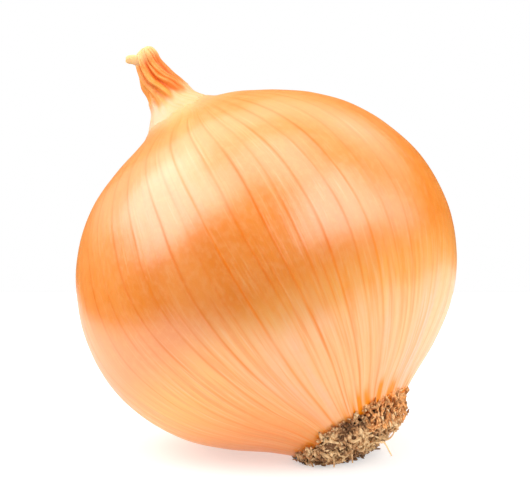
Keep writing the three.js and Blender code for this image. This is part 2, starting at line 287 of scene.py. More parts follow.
def ring_faces(rows, columns, start=0):
    """Quads between rows of points that run round, from the neck to the root."""
    faces = []
    for row in range(rows - 1):
        here = start + row * columns
        below = here + columns
        for k in range(columns):
            after = (k + 1) % columns
            faces.append((here + k, below + k, below + after, here + after))
    return faces


def closed_rings(grid, first, last):
    """Points and faces of a closed skin: rings of points, and a point at each end."""
    rows, columns = grid.shape[:2]
    points = np.vstack([grid.reshape(-1, 3), first, last])
    faces = ring_faces(rows, columns)
    top, bottom = rows * columns, rows * columns + 1
    base = (rows - 1) * columns
    for k in range(columns):
        after = (k + 1) % columns
        faces.append((top, k, after))
        faces.append((bottom, base + after, base + k))
    return points, faces


def vein_list():
    """Every vein: azimuth at the widest ring, strength, height it ends at, and a phase."""
    draw = random.Random(SEED)
    veins = [(math.radians(angle), strength, end) for angle, strength, end in FRONT_VEINS]
    first, last = veins[-1][0], veins[0][0] + TURN
    for k in range(1, BACK_VEINS):
        place = k + VEIN_JITTER * (draw.random() - 0.5)
        angle = first + (last - first) * place / BACK_VEINS
        end = 40 if draw.random() < 0.75 else draw.uniform(-12, 6)
        veins.append((angle, draw.uniform(*BACK_VEIN_STRENGTHS), end))
    return [(*vein, draw.uniform(0, TURN)) for vein in veins]


def vein_strength(strength, end, phase, z):
    """How strongly a vein shows along its way, with weaker stretches."""
    waves = 0.5 + 0.3 * np.sin(z / 4.3 + phase) + 0.2 * np.sin(z / 1.9 + 3 * phase)
    weaker = 1 - 0.2 * ease(10, 20, z)
    return strength ** 1.25 * ease(end + 3, end - 3, z) * (0.55 + 0.45 * waves) * weaker


def bulb_columns(veins, z):
    """Own azimuth, place, vein share and middle share of every column of the bulb at heights z."""
    starts = np.array([vein[0] for vein in veins])
    gap_after = (np.roll(starts, -1) - starts) % TURN
    gap_before = np.roll(gap_after, 1)
    radius = outline_radius(z)
    angles, shares, between = [], [], []
    for k, (angle, strength, end, phase) in enumerate(veins):
        gap = min(gap_before[k], gap_after[k])
        shown = vein_strength(strength, end, phase, z)
        for place, share in VEIN_PROFILE:
            reach = np.minimum(VEIN_REACH / radius, VEIN_WIDTH_SHARE * gap)
            angles.append(angle + reach * place / VEIN_REACH)
            shares.append(share * shown)
            between.append(np.zeros_like(z))
        for step in range(1, FILL_COLUMNS + 1):
            part = step / (FILL_COLUMNS + 1)
            angles.append(np.full_like(z, angle + gap_after[k] * part))
            shares.append(np.zeros_like(z))
            between.append(np.full_like(z, math.sin(math.pi * part) * min(1, gap_after[k] * 6)))
    own = np.array(angles).T
    drawn = -ROOT_DRAW * ease(2, -26, z)[:, None] * np.sin(own - DRAW_TO)
    turned = NECK_TURN * ease(10, 32, z)[:, None]
    wander = VEIN_WANDER * np.sin(z[:, None] / 8 + 9 * own)
    return own, own + drawn + turned + wander, np.array(shares).T, np.array(between).T


def make_bulb(material):
    """The bulb in its skin, torn round the neck, with a seat at both ends."""
    veins = vein_list()
    heights = steps_between(ROOT_RIM[0], NECK_RIM[0], BULB_ROWS)[::-1]
    own_angles, angles, vein, between = bulb_columns(veins, heights)
    at_neck = ease(28.5, 34.5, heights)[:, None]
    at_root = ease(-31, -35.1, heights)[:, None]
    z = heights[:, None] + at_neck * (neck_rim_height(angles) - NECK_RIM[0])
    z = z + at_root * (rim_height(ROOT_RIM, angles) - ROOT_RIM[0])
    fade = ease(0, 5, 34.5 - heights)[:, None] * ease(0, 3, heights + 35.1)[:, None]
    smooth = skin_points(z, angles)
    dents = 0.12 * noise_at(smooth, 14.0) + 0.04 * noise_at(smooth * (1, 1, 0.35), 4.5, 9.0)
    relief = VEIN_HEIGHT * vein + FACET_DEPTH * between + dents
    curl = 0.1 * ease(33.2, 34.5, heights)[:, None] ** 2
    grid = skin_points(z, angles, -relief * fade - curl)
    along = np.stack(np.broadcast_arrays(37 * np.cos(own_angles), 37 * np.sin(own_angles), z), -1)
    by_root = ease(-29.5, -34.2, z + 0.9 * noise_at(along, 3.0, 1.0))
    torn_side = ease(-60, -36, np.degrees(angles)) * ease(80, 50, np.degrees(angles))
    torn_reach = 0.5 + 2.2 * noise_at(along * (1, 1, 0.1), 2.1, 6.0)
    raw = np.clip(by_root * (0.08 + 1.9 * torn_side * np.clip(torn_reach, 0, 1)), 0, 1)
    vein = vein * ease(34.2, 27.0, z)

    def inner_row(row, inset, drop):
        ring = skin_points(z[row], angles[row], inset)
        ring[:, 2] += drop
        return ring

    neck_rows = [
        inner_row(0, SKIN_THICKNESS + 0.5, -NECK_SEAT_DEPTH),
        inner_row(0, SKIN_THICKNESS + 0.2, -0.7),
        inner_row(0, SKIN_THICKNESS - 0.1, -0.02),
    ]
    root_rows = [
        inner_row(-1, SKIN_THICKNESS, 0.0),
        inner_row(-1, 0.5, 0.4),
        inner_row(-1, 0.65, ROOT_SEAT_DEPTH),
    ]
    grid = np.concatenate([np.array(neck_rows), grid, np.array(root_rows)])
    points, faces = closed_rings(grid, grid[0].mean(axis=0), grid[-1].mean(axis=0))
    rows = (len(neck_rows), len(root_rows))

    def spread(values):
        """Values of the outer skin, carried on over the seats and the two end points."""
        padded = np.pad(values, (rows, (0, 0)), mode="edge")
        return np.concatenate([padded.ravel(), [0, 0]])

    attributes = {"vein": spread(vein), "raw": spread(raw)}
    flow = np.stack([spread(along[..., k]) for k in range(3)], -1)
    return make_object("onion_bulb", points, faces, material, attributes, flow)


def sheath_edge(angle):
    """Height at which the pale outer sheath of the neck is torn off."""
    waves = sum(size * np.cos(n * (angle - SIDE) + turn) for n, size, turn in SHEATH_WAVES)
    return SHEATH_EDGE + waves


def noise_fold(angle, climb, count, turn):
    """Uneven folds round the neck, that wander as they climb."""
    wander = 0.8 * np.sin(2.3 * angle + turn) + 0.5 * np.sin(4.1 * climb + 3 * turn + 2 * angle)
    return np.abs(np.sin(count * angle / 2 + turn + wander))


def make_neck(material):
    """The dried neck: folded leaf sheaths, with a pale torn one round their foot."""
    curve = catmull_rom(NECK_OUTLINE, OUTLINE_STEPS)
    foot = NECK_RIM[0] - 1.3
    part = curve[curve[:, 0] >= foot]
    length = np.concatenate([[0], np.cumsum(np.hypot(*np.diff(part[:, :2], axis=0).T))])
    heights = np.interp(np.linspace(0, length[-1] * 0.995, NECK_ROWS), length, part[:, 0])[::-1]
    angle = np.linspace(0, TURN, NECK_COLUMNS, endpoint=False)[None, :]
    tip = NECK_OUTLINE[-1][0]
    climb = np.clip((heights - NECK_RIM[0]) / (tip - NECK_RIM[0]), 0, 1)[:, None]
    slant = (rim_height(NECK_RIM, angle) - NECK_RIM[0]) * (1 - ease(0, 0.35, climb))
    z = heights[:, None] + slant
    radius = np.interp(z, curve[:, 0], curve[:, 1])
    offset = np.interp(z, curve[:, 0], curve[:, 2])
    turned = angle + NECK_TWIST * climb
    folds = sum(depth * (0.6 - noise_fold(angle, climb, count, turn)) for count, depth, turn in FOLDS)
    strength = 0.06 + 0.94 * ease(0.12, 0.55, climb)
    own = np.stack(np.broadcast_arrays(6 * np.cos(angle), 6 * np.sin(angle), z * 0.35), -1)
    rough = 0.16 * noise_at(own, 2.4, 5.0) + 0.08 * noise_at(own, 1.0, 3.0)
    oval = NECK_FLATNESS * ease(0.3, 1, climb) * np.sin(turned - SIDE) ** 2
    below = ease(0.5, -0.3, z - sheath_edge(turned))
    raised = ease(0.15, 0.4, climb)
    under_skin = 0.34 * ease(NECK_RIM[0] + 1.2, NECK_RIM[0] - 0.4, heights)[:, None]
    inset = radius * (oval + folds * strength) - rough * ease(0, 0.35, climb)
    inset = inset + SHEATH_THICKNESS * raised * (0.5 - below) + under_skin
    reach = radius - inset
    x = reach * np.cos(turned) + offset * math.cos(SIDE)
    y = reach * np.sin(turned) + offset * math.sin(SIDE)
    grid = np.stack(np.broadcast_arrays(x, y, z), -1)
    points, faces = closed_rings(grid, grid[0].mean(axis=0), grid[-1].mean(axis=0))
    # How deep each point lies in the folds, for the painted shade in the creases
    crease_shade = np.clip(0.45 + folds * strength * 2.4, 0, 1)
    torn = 1.1 * noise_at(own * (1, 1, 0.6), 1.6, 8.0)
    amber = np.clip(ease(-1.5, 1.1, z - sheath_edge(turned) + torn), 0, 1)
    attributes = {
        "crease_shade": np.concatenate([crease_shade.ravel(), [0.5, 0.5]]),
        "amber": np.concatenate([amber.ravel(), [1, 0]]),
    }
    flow = np.vstack([own.reshape(-1, 3), own[0, 0], own[-1, 0]])
    return make_object("onion_neck", points, faces, material, attributes, flow)


def aside_point(aside, forward, z):
    """Sideways, towards the viewer and height to a point of the onion's frame."""
    x = aside * math.cos(SIDE) + forward * math.sin(SIDE)
    y = aside * math.sin(SIDE) - forward * math.cos(SIDE)
    return (x, y, z)


def tube_rings(path, steps, sides, half_width, half_thickness, width_axis, taper):
    """Rings of an oval tube along a path, thinning by a function of the share of its length."""
    line = catmull_rom(path, steps)
    ahead = np.gradient(line, axis=0)
    ahead /= np.linalg.norm(ahead, axis=1, keepdims=True)
    across = width_axis - ahead * (ahead @ width_axis)[:, None]
    across /= np.linalg.norm(across, axis=1, keepdims=True)
    over = np.cross(ahead, across)
    share = np.linspace(0, 1, len(line))[:, None, None]
    turn = -np.linspace(0, TURN, sides, endpoint=False)[None, :, None]
    ring = half_width * np.cos(turn) * across[:, None] + half_thickness * np.sin(turn) * over[:, None]
    return line[:, None] + ring * taper(share)


def join_tubes(tubes):
    """Points and faces of several closed tubes, and the number of points in each."""
    points, faces, counts = [], [], []
    start = 0
    for rings in tubes:
        own_points, own_faces = closed_rings(rings, rings[0].mean(axis=0), rings[-1].mean(axis=0))
        points.append(own_points)
        faces.extend(tuple(start + k for k in face) for face in own_faces)
        counts.append(len(own_points))
        start += len(own_points)
    return np.vstack(points), faces, counts


def make_leaf_tips(material):
    """Folded dry leaf tips on top of the neck."""
    tubes = []
    for path, broad, width, thickness in LEAF_TIPS:
        line = np.array([aside_point(*p) for p in path])
        axis = np.array(aside_point(*broad))
        taper = lambda share: 1 - 0.35 * share - 0.2 * ease(0.85, 1.0, share) ** 2
        rings = tube_rings(line, 10, 18, width, thickness, axis, taper)
        rings += 0.1 * noise_at(rings, 0.9, 7.0)[..., None] * (axis / np.linalg.norm(axis))
        tubes.append(rings)
    points, faces, counts = join_tubes(tubes)
    attributes = {
        "crease_shade": np.full(len(points), 0.35),
        "amber": np.repeat([0.1, 0.8, 0.75], counts),
    }
    return make_object("neck_leaf_tips", points, faces, material, attributes)


def dome_height(radius):
    radii, heights = zip(*DOME)
    return np.interp(radius, radii, heights)


def set_askew(points):
    """The root end stands a little askew, as its rim does."""
    points = np.array(points, float)
    side = points[..., 0] * math.cos(SIDE) + points[..., 1] * math.sin(SIDE)
    points[..., 0] += PLATE_SHIFT * math.cos(SIDE)
    points[..., 1] += PLATE_SHIFT * math.sin(SIDE)
    points[..., 2] += ROOT_RIM[1] * side
    return points


def lift_from_table(points, room):
    """Points nearer to the table than the room they need are lifted."""
    up = np.array([math.sin(LEAN), 0, math.cos(LEAN)])
    short = room - (points @ up + REST_HEIGHT)
    return points + np.maximum(short, 0)[..., None] * up


def make_plate(material):
    """The domed basal plate that the roots grow from."""
    dome = catmull_rom(DOME[4::-1], 5)
    rows = np.vstack([PLATE_BACK[::-1][1:], dome[:-1]])
    angle = np.linspace(0, TURN, 96, endpoint=False)
    radius, height = rows[:, 0:1], rows[:, 1:2]
    grid = np.stack(np.broadcast_arrays(radius * np.cos(angle), radius * np.sin(angle), height), -1)
    crumble = noise_at(grid, 1.3, 2.0)[..., None] * 0.3
    grid = set_askew(grid + crumble * ease(-36.0, -37.0, grid[..., 2:3]) * (0, 0, 1))
    points, faces = closed_rings(grid, set_askew((0, 0, -34.8)), set_askew((0, 0, dome[-1][1])))
    points = lift_from_table(points, 0)
    return make_object("root_plate", points, faces, material, {"tone": np.full(len(points), 0.0)})


def mat_root_path(draw):
    """One dried root that wanders over the dome, mostly lying in the mat."""
    reach = MAT_RADIUS * math.sqrt(draw.random())
    around = draw.uniform(0, TURN)
    x, y = reach * math.cos(around), reach * math.sin(around)
    heading = draw.uniform(0, TURN)
    lift = -0.8
    length = draw.uniform(*ROOT_LENGTH)
    steps = max(4, round(length / 1.1))
    level = draw.uniform(0.1, MAT_THICKNESS)
    path = []
    for _ in range(steps + 1):
        path.append((x, y, dome_height(math.hypot(x, y)) - lift))
        heading += draw.gauss(0, 0.6)
        step = length / steps
        x += step * math.cos(heading)
        y += step * math.sin(heading)
        out = math.hypot(x, y)
        if out > MAT_RADIUS + 0.6:
            x, y = x * (MAT_RADIUS + 0.6) / out, y * (MAT_RADIUS + 0.6) / out
            heading += 1.2
        lift += (level - lift) * 0.6 + draw.gauss(0, 0.22)
    return path


def draw_direction(draw):
    """A direction drawn at random."""
    return np.array([draw.gauss(0, 0.6) for _ in range(3)])


def root_redness(path):
    """Roots at the torn side of the rim are reddish."""
    first, last, reach, redness = ROOT_RED_SIDE
    x, y, _ = path.mean(axis=0)
    around = math.degrees(math.atan2(y, x))
    return redness if first < around < last and math.hypot(x, y) > reach else 0


def ground_shade(points):
    """Painted shade: the mat is darker brown where it lies near the table."""
    return 0.55 * ease(3.0, 0.6, to_table(points)[:, 2] / MM)


def make_roots(material):
    """The mat of dried roots over the plate, with a few strays."""
    draw = random.Random(SEED + 2)
    axis = np.array([0.3, 0.5, 0.8])
    tubes, tones, reds = [], [], []
    for _ in range(MAT_ROOTS):
        radius = draw.uniform(*ROOT_RADIUS)
        path = lift_from_table(set_askew(mat_root_path(draw)), radius + FLOOR_CLEARANCE)
        taper = lambda share: 1 - 0.55 * share ** 1.5
        rings = tube_rings(path, 2, 6, radius, radius * 0.75, axis, taper)
        tubes.append(rings + 0.16 * noise_at(rings, 0.5, 3.0)[..., None] * draw_direction(draw))
        tones.append(draw.random())
        reds.append(root_redness(path))
    for path in STRAY_ROOTS:
        path = lift_from_table(set_askew(path), 0.25 + FLOOR_CLEARANCE)
        tubes.append(tube_rings(path, 6, 6, 0.25, 0.22, axis, lambda share: 1 - 0.4 * share))
        tones.append(0.95)
        reds.append(0)
    points, faces, counts = join_tubes(tubes)
    depth = noise_at(points, 2.8, 4.0) + 0.18
    tone = np.clip(np.repeat(tones, counts) + depth - ground_shade(points), 0, 1)
    red = np.repeat(reds, counts)
    return make_object("roots", points, faces, material, {"tone": tone, "red": red})


def make_flakes(material):
    """Small torn flakes of skin round the root, reddish on one side of it and tan on the rest."""
    draw = random.Random(SEED + 3)
    points, faces, tones, reds = [], [], [], []
    for first, last, count, reaches, sizes, redness in FLAKE_ZONES:
        for _ in range(count):
            around = math.radians(draw.uniform(first, last))
            reach = draw.uniform(*reaches)
            size = draw.uniform(*sizes)
            slope = (dome_height(reach + 0.3) - dome_height(reach - 0.3)) / 0.6
            out = Vector((math.cos(around), math.sin(around), slope)).normalized()
            side = Vector((-math.sin(around), math.cos(around), 0))
            normal = side.cross(out)
            normal = -normal if normal.z > 0 else normal
            tilt_out, tilt_side = draw.gauss(0, FLAKE_TILT), draw.gauss(0, FLAKE_TILT)
            lift = draw.uniform(*FLAKE_LIFTS) * ease(12.8, 10.0, reach) + 0.05
            middle = Vector((reach * math.cos(around), reach * math.sin(around), dome_height(reach)))
            middle += normal * lift
            start = len(points)
            for k in range(FLAKE_SIDES):
                turn = TURN * k / FLAKE_SIDES
                across = size * draw.uniform(0.3, 1.1) * math.cos(turn)
                down = size * draw.uniform(0.5, 1.9) * math.sin(turn)
                rise = across * tilt_side + down * tilt_out + draw.gauss(0, 0.06)
                points.append(middle + side * across + out * down + normal * rise)
            points.append(middle + normal * FLAKE_THICKNESS)
            points.append(middle - normal * FLAKE_THICKNESS)
            for k in range(FLAKE_SIDES):
                after = (k + 1) % FLAKE_SIDES
                faces.append((start + k, start + after, start + FLAKE_SIDES))
                faces.append((start + after, start + k, start + FLAKE_SIDES + 1))
            tone = draw.uniform(0.5, 1.0) + 1.0 * noise.noise(middle / 2.8 + Vector((4, 4, 4)))
            tones.extend([tone] * (FLAKE_SIDES + 2))
            reds.extend([draw.uniform(*redness)] * (FLAKE_SIDES + 2))
    points = lift_from_table(set_askew([tuple(p) for p in points]), FLOOR_CLEARANCE)
    tone = np.array(tones) - ground_shade(points)
    return make_object("root_flakes", points, faces, material, {"tone": tone, "red": reds})


def new_material(name):
    """A material with an empty node tree but its shader and output."""
    material = bpy.data.materials.new(name)
    material.use_nodes = True
    nodes = material.node_tree.nodes
    return material, nodes, material.node_tree.links, nodes["Principled BSDF"]


def add_noise(nodes, links, vector, scale, detail=3.0, roughness=0.55):
    texture = nodes.new("ShaderNodeTexNoise")
    texture.inputs["Scale"].default_value = scale
    texture.inputs["Detail"].default_value = detail
    texture.inputs["Roughness"].default_value = roughness
    links.new(vector, texture.inputs["Vector"])
    return texture.outputs["Fac"]


def add_attribute(nodes, name, output="Fac"):
    attribute = nodes.new("ShaderNodeAttribute")
    attribute.attribute_name = name
    return attribute.outputs[output]


def add_scaled(nodes, links, vector, scale):
    """The vector with each part multiplied."""
    node = nodes.new("ShaderNodeVectorMath")
    node.operation = "MULTIPLY"
    links.new(vector, node.inputs[0])
    node.inputs[1].default_value = scale
    return node.outputs["Vector"]


def add_range(nodes, links, value, low, high, to_low=0.0, to_high=1.0):
    """Maps low..high to another range, smoothly and within its ends."""
    node = nodes.new("ShaderNodeMapRange")
    node.interpolation_type = "SMOOTHSTEP"
    links.new(value, node.inputs["Value"])
    node.inputs["From Min"].default_value = low
    node.inputs["From Max"].default_value = high
    node.inputs["To Min"].default_value = to_low
    node.inputs["To Max"].default_value = to_high
    return node.outputs["Result"]


def add_math(nodes, links, operation, a, b):
    node = nodes.new("ShaderNodeMath")
    node.operation = operation
    for socket, value in zip(node.inputs, (a, b)):
        if isinstance(value, (int, float)):
            socket.default_value = value
        else:
            links.new(value, socket)
    return node.outputs["Value"]


def add_mix(nodes, links, factor, a, b, blend="MIX"):
    """Mixes two colours, each a socket or an RGB triple."""
    node = nodes.new("ShaderNodeMix")
    node.data_type = "RGBA"
    node.blend_type = blend
    sockets = (node.inputs["Factor"], node.inputs["A"], node.inputs["B"])
    sockets = (node.inputs[0], node.inputs[6], node.inputs[7])
    for socket, value in zip(sockets, (factor, a, b)):
        if isinstance(value, (int, float)):
            socket.default_value = value
        elif isinstance(value, tuple):
            socket.default_value = (*value, 1)
        else:
            links.new(value, socket)
    return node.outputs[2]


def add_bump(nodes, links, height, distance, strength=1.0):
    node = nodes.new("ShaderNodeBump")
    node.inputs["Distance"].default_value = distance
    node.inputs["Strength"].default_value = strength
    links.new(height, node.inputs["Height"])
    return node.outputs["Normal"]


def add_height(nodes, links, own):
    separate = nodes.new("ShaderNodeSeparateXYZ")
    links.new(own, separate.inputs["Vector"])
    return separate.outputs["Z"]


def add_turned(nodes, links, vector, angle):
    """The vector turned about the onion's axis."""
    node = nodes.new("ShaderNodeVectorRotate")
    node.rotation_type = "Z_AXIS"
    links.new(vector, node.inputs["Vector"])
    node.inputs["Angle"].default_value = angle
    return node.outputs["Vector"]


def add_along(nodes, links, vector):
    separate = nodes.new("ShaderNodeSeparateXYZ")
    links.new(vector, separate.inputs["Vector"])
    return separate.outputs["X"]


# Skin colours, linear
SKIN_LIGHT = (0.83, 0.28, 0.045)
SKIN_AMBER = (0.81, 0.245, 0.028)
SKIN_BAND_SHADE = (0.81, 0.225, 0.003)
SKIN_MIDDLE_SHADE = (0.74, 0.18, 0.001)
SKIN_VEIN = (0.74, 0.15, 0.001)
SKIN_VEIN_LOW = (0.86, 0.205, 0.001)
SKIN_STREAK = (0.78, 0.205, 0.016)
SKIN_STREAK_LOW = (0.89, 0.28, 0.008)
SKIN_THREAD = (0.88, 0.47, 0.20)
SKIN_PALE = (0.86, 0.46, 0.18)
SKIN_MOTTLE = (0.85, 0.36, 0.09)
SKIN_NECK_END = (0.82, 0.31, 0.085)
SKIN_ROOT_HALF = (0.91, 0.44, 0.055)
SKIN_ROSY = (0.88, 0.41, 0.26)
SKIN_UNDERSIDE_SHADE = (0.78, 0.225, 0.002)
SKIN_RIM = (0.84, 0.42, 0.18)
SKIN_RAW = (0.86, 0.24, 0.001)


def skin_colour(nodes, links, z, flow, blotch, streak, fibre, grain):
    """Amber skin, with painted shade in a band round its widest part and on the underside, streaks along it,
    veins and a raw root rim.
    """
    colour = add_mix(nodes, links, add_range(nodes, links, blotch, 0.35, 0.65), SKIN_LIGHT, SKIN_AMBER)
    # Painted shade: a darker band round the widest part, in patches and stronger to one side, with a darkest
    # patch in its middle, where the lights leave the skin dark
    below = add_range(nodes, links, z, -15.0, -6.0)
    above = add_range(nodes, links, z, 14.0, 4.0)
    ring = add_math(nodes, links, "MULTIPLY", below, above)
    patches = add_range(nodes, links, blotch, 0.38, 0.6, 0.25, 0.8)
    ring = add_math(nodes, links, "MULTIPLY", ring, patches)
    side = add_along(nodes, links, flow)
    ring = add_math(nodes, links, "MULTIPLY", ring, add_range(nodes, links, side, -24.0, -4.0, 0.3, 1.0))
    colour = add_mix(nodes, links, ring, colour, SKIN_BAND_SHADE)
    middle = add_range(nodes, links, side, -8.0, 6.0)
    middle = add_math(nodes, links, "MULTIPLY", middle, add_range(nodes, links, side, 28.0, 14.0, 0.0, 0.75))
    middle = add_math(nodes, links, "MULTIPLY", middle, ring)
    colour = add_mix(nodes, links, middle, colour, SKIN_MIDDLE_SHADE)
    root_half = add_range(nodes, links, z, -7.0, -19.0, 0.0, 0.85)
    colour = add_mix(nodes, links, root_half, colour, SKIN_ROOT_HALF)
    rosy_side = add_range(nodes, links, side, -14.0, 24.0)
    patchy = add_range(nodes, links, blotch, 0.4, 0.65, 0.35, 1.0)
    rosy = add_math(nodes, links, "MULTIPLY", rosy_side, patchy)
    rosy = add_math(nodes, links, "MULTIPLY", rosy, add_range(nodes, links, z, -9.0, -24.0, 0.0, 0.85))
    colour = add_mix(nodes, links, rosy, colour, SKIN_ROSY)
    # Painted shade: the underside, on the side away from the rosy patch, is darker
    underside_shade = add_math(nodes, links, "SUBTRACT", 1.0, rosy_side)
    underside_shade = add_math(nodes, links, "MULTIPLY", underside_shade, add_range(nodes, links, z, -16.0, -31.0))
    colour = add_mix(nodes, links, underside_shade, colour, SKIN_UNDERSIDE_SHADE)
    neck_end = add_range(nodes, links, z, 16.0, 34.0, 0.0, 0.8)
    colour = add_mix(nodes, links, neck_end, colour, SKIN_NECK_END)
    cloud = add_range(nodes, links, blotch, 0.42, 0.3, 0.0, 0.55)
    colour = add_mix(nodes, links, cloud, colour, SKIN_AMBER)
    deep = add_range(nodes, links, streak, 0.5, 0.75, 0.0, 0.6)
    colour = add_mix(nodes, links, deep, colour, SKIN_STREAK)
    lower = add_range(nodes, links, z, -5.0, -16.0)
    low_streak = add_math(nodes, links, "MULTIPLY", lower, add_range(nodes, links, streak, 0.46, 0.62, 0.0, 0.65))
    colour = add_mix(nodes, links, low_streak, colour, SKIN_STREAK_LOW)
    thread = add_math(nodes, links, "MULTIPLY", lower, add_range(nodes, links, fibre, 0.52, 0.7, 0.0, 0.4))
    colour = add_mix(nodes, links, thread, colour, SKIN_THREAD)
    pale = add_range(nodes, links, fibre, 0.55, 0.8, 0.0, 0.3)
    colour = add_mix(nodes, links, pale, colour, SKIN_PALE)
    mottle = add_range(nodes, links, grain, 0.42, 0.7, 0.0, 0.25)
    colour = add_mix(nodes, links, mottle, colour, SKIN_MOTTLE)
    vein = add_attribute(nodes, "vein")
    vein = add_math(nodes, links, "MULTIPLY", vein, add_range(nodes, links, streak, 0.35, 0.55, 0.55, 1.0))
    vein_colour = add_mix(nodes, links, lower, SKIN_VEIN, SKIN_VEIN_LOW)
    colour = add_mix(nodes, links, vein, colour, vein_colour)
    rim = add_range(nodes, links, z, 30.5, 35.2, 0.0, 0.85)
    colour = add_mix(nodes, links, rim, colour, SKIN_RIM)
    return add_mix(nodes, links, add_attribute(nodes, "raw"), colour, SKIN_RAW)


def skin_material():
    """Papery skin: coloured along its fibres, satin, with a soft ripple."""
    material, nodes, links, shader = new_material("papery_skin")
    own = add_attribute(nodes, "own", "Vector")
    flow = add_attribute(nodes, "flow", "Vector")
    z = add_height(nodes, links, own)
    blotch = add_noise(nodes, links, add_scaled(nodes, links, flow, (0.09, 0.09, 0.035)), 1.0, 3.0)
    streak = add_noise(nodes, links, add_scaled(nodes, links, flow, (0.7, 0.7, 0.045)), 1.0, 4.0, 0.6)
    fibre = add_noise(nodes, links, add_scaled(nodes, links, flow, (1.7, 1.7, 0.11)), 1.0, 2.0, 0.5)
    grain = add_noise(nodes, links, add_scaled(nodes, links, own, (0.9, 0.9, 0.7)), 1.0, 3.0, 0.6)
    colour = skin_colour(nodes, links, z, flow, blotch, streak, fibre, grain)
    links.new(colour, shader.inputs["Base Color"])
    links.new(add_range(nodes, links, grain, 0.3, 0.7, 0.3, 0.37), shader.inputs["Roughness"])
    ripple = add_math(nodes, links, "ADD", streak, add_math(nodes, links, "MULTIPLY", fibre, 0.2))
    neck_side = add_range(nodes, links, z, 33.0, 14.0, 0.2, 1.0)
    root_side = add_range(nodes, links, z, -33.0, -16.0, 0.4, 1.0)
    ripple = add_math(nodes, links, "MULTIPLY", ripple, add_math(nodes, links, "MULTIPLY", neck_side, root_side))
    links.new(add_bump(nodes, links, ripple, 0.00006, 0.8), shader.inputs["Normal"])
    facing = nodes.new("ShaderNodeLayerWeight")
    gloss = add_range(nodes, links, facing.outputs["Facing"], 0.45, 0.9, 1.0, 0.5)
    matt_vein = add_range(nodes, links, add_attribute(nodes, "vein"), 0.0, 1.0, 1.0, 0.35)
    gloss = add_math(nodes, links, "MULTIPLY", gloss, matt_vein)
    matt_raw = add_range(nodes, links, add_attribute(nodes, "raw"), 0.0, 1.0, 1.0, 0.2)
    gloss = add_math(nodes, links, "MULTIPLY", gloss, matt_raw)
    shader.inputs["Specular IOR Level"].default_value = 1.0
    links.new(gloss, shader.inputs["Specular IOR Level"])
    shader.inputs["IOR"].default_value = 1.6
    shader.inputs["Subsurface Weight"].default_value = 0.12
    shader.inputs["Subsurface Radius"].default_value = (1.0, 0.4, 0.12)
    shader.inputs["Subsurface Scale"].default_value = 0.003
    return material


NECK_STRAW = (0.84, 0.42, 0.20)
NECK_STRAW_DARK = (0.80, 0.34, 0.10)
NECK_FOOT = (0.82, 0.36, 0.13)
NECK_PALE_LIT = (0.87, 0.51, 0.31)
NECK_AMBER = (0.78, 0.215, 0.012)
NECK_AMBER_SHADED = (0.74, 0.135, 0.001)
NECK_AMBER_PALE = (0.83, 0.335, 0.06)
NECK_TIP = (0.88, 0.57, 0.23)


def neck_material():
    """Dried leaf sheaths: pale straw below, amber above, with painted shade in the creases and on the right side
    and painted light on the left.
    """
    material, nodes, links, shader = new_material("straw_sheaths")
    own = add_attribute(nodes, "own", "Vector")
    flow = add_attribute(nodes, "flow", "Vector")
    z = add_height(nodes, links, own)
    aside = add_along(nodes, links, add_turned(nodes, links, own, -SIDE))
    fibre = add_noise(nodes, links, add_scaled(nodes, links, flow, (1.6, 1.6, 0.5)), 1.0, 4.0, 0.65)
    cloud = add_noise(nodes, links, add_scaled(nodes, links, own, (0.55, 0.55, 0.3)), 1.0, 3.0)
    crease_shade = add_attribute(nodes, "crease_shade")
    amber = add_attribute(nodes, "amber")
    fine = add_range(nodes, links, fibre, 0.4, 0.7, 0.0, 0.8)
    straw = add_mix(nodes, links, fine, NECK_STRAW, NECK_STRAW_DARK)
    foot = add_range(nodes, links, z, 36.5, 33.8, 0.0, 0.5)
    straw = add_mix(nodes, links, foot, straw, NECK_FOOT)
    # Painted light: the straw is paler on its left side, toward the light
    straw = add_mix(nodes, links, add_range(nodes, links, aside, -1.0, -5.0, 0.0, 0.8), straw, NECK_PALE_LIT)
    ridge = add_mix(nodes, links, add_range(nodes, links, cloud, 0.35, 0.65), NECK_AMBER_PALE, NECK_AMBER)
    # Painted shade: darker amber in the creases of the folds
    deep = add_mix(nodes, links, add_range(nodes, links, crease_shade, 0.42, 0.75), ridge, NECK_AMBER_SHADED)
    deep = add_mix(nodes, links, add_range(nodes, links, fibre, 0.5, 0.75, 0.0, 0.6), deep, NECK_AMBER)
    # Painted light on the amber's left side, toward the light, and painted shade on its right side
    painted_lit_side = add_range(nodes, links, aside, -2.6, -4.4, 0.0, 0.6)
    deep = add_mix(nodes, links, painted_lit_side, deep, NECK_AMBER_PALE)
    painted_shaded_side = add_range(nodes, links, aside, -1.6, 0.9, 0.0, 0.6)
    deep = add_mix(nodes, links, painted_shaded_side, deep, NECK_AMBER_SHADED)
    colour = add_mix(nodes, links, amber, straw, deep)
    tip = add_range(nodes, links, z, 46.2, 49.4, 0.0, 0.85)
    colour = add_mix(nodes, links, tip, colour, NECK_TIP)
    links.new(colour, shader.inputs["Base Color"])
    links.new(add_bump(nodes, links, fibre, 0.00015, 0.9), shader.inputs["Normal"])
    shader.inputs["Roughness"].default_value = 0.5
    shader.inputs["Subsurface Weight"].default_value = 0.15
    shader.inputs["Subsurface Radius"].default_value = (1.0, 0.5, 0.15)
    shader.inputs["Subsurface Scale"].default_value = 0.0015
    return material


ROOT_TAN = (0.97, 0.68, 0.36)
ROOT_BROWN = (0.60, 0.31, 0.13)
ROOT_DARK = (0.17, 0.07, 0.025)
ROOT_RED = (0.98, 0.48, 0.16)
ROOT_RED_DARK = (0.82, 0.28, 0.06)


